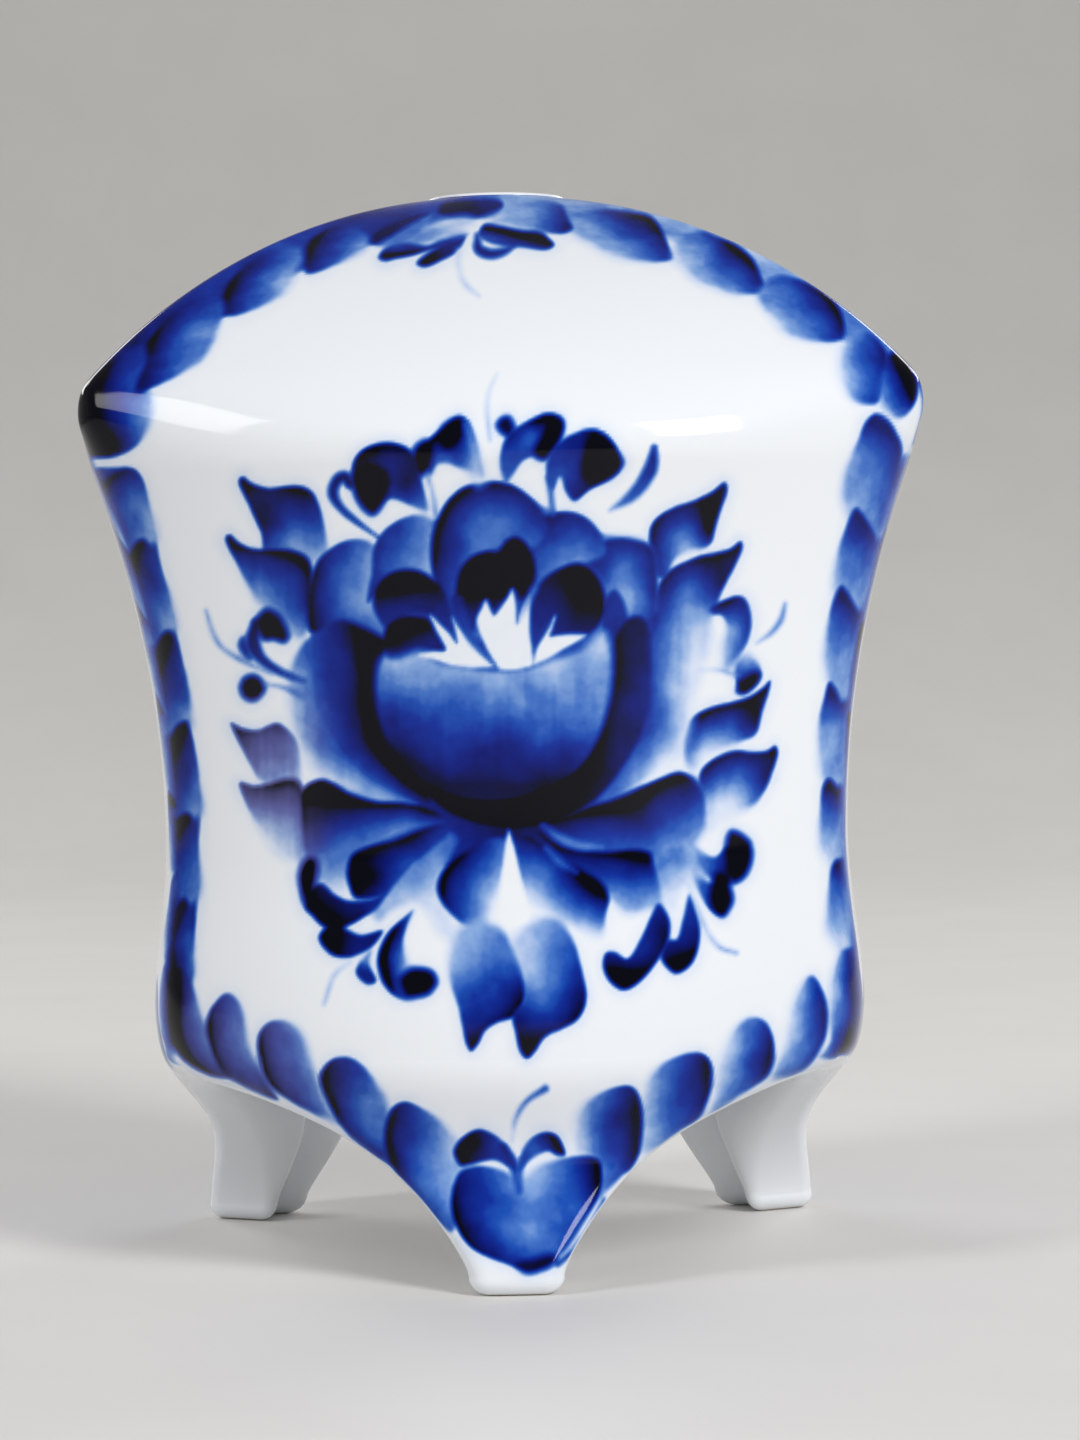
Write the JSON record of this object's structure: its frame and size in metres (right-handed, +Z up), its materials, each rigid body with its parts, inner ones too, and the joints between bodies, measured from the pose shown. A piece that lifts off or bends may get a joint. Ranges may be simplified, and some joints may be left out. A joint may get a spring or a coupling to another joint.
{
  "type": "three-sided footed porcelain bud vase",
  "caption": "Glazed white porcelain bud vase with bulged faces, a domed top with a small round mouth, and pointed apron feet, painted in cobalt blue with a rose and petal borders.",
  "frame": {"origin": "under the centre of the vase's box, in the plane that the three soles stand on; the axis of the mouth lies 4.7 mm in front of it", "axes": "+Z up along the axis of the mouth, -Y out of the middle of the front face, +X to the right seen from the front"},
  "size_m": [0.0924, 0.0954, 0.1197],
  "materials": {
    "glazed_porcelain": "clear glossy glaze over white porcelain with cobalt painting"
  },
  "bodies": {
    "root": {"front_wall": "glazed_porcelain", "left_wall": "glazed_porcelain", "right_wall": "glazed_porcelain", "front_shoulder": "glazed_porcelain", "left_shoulder": "glazed_porcelain", "right_shoulder": "glazed_porcelain", "mouth_ring": "glazed_porcelain", "base_floor": "glazed_porcelain", "front_foot": "glazed_porcelain", "left_foot": "glazed_porcelain", "right_foot": "glazed_porcelain"}
  },
  "joints": []
}
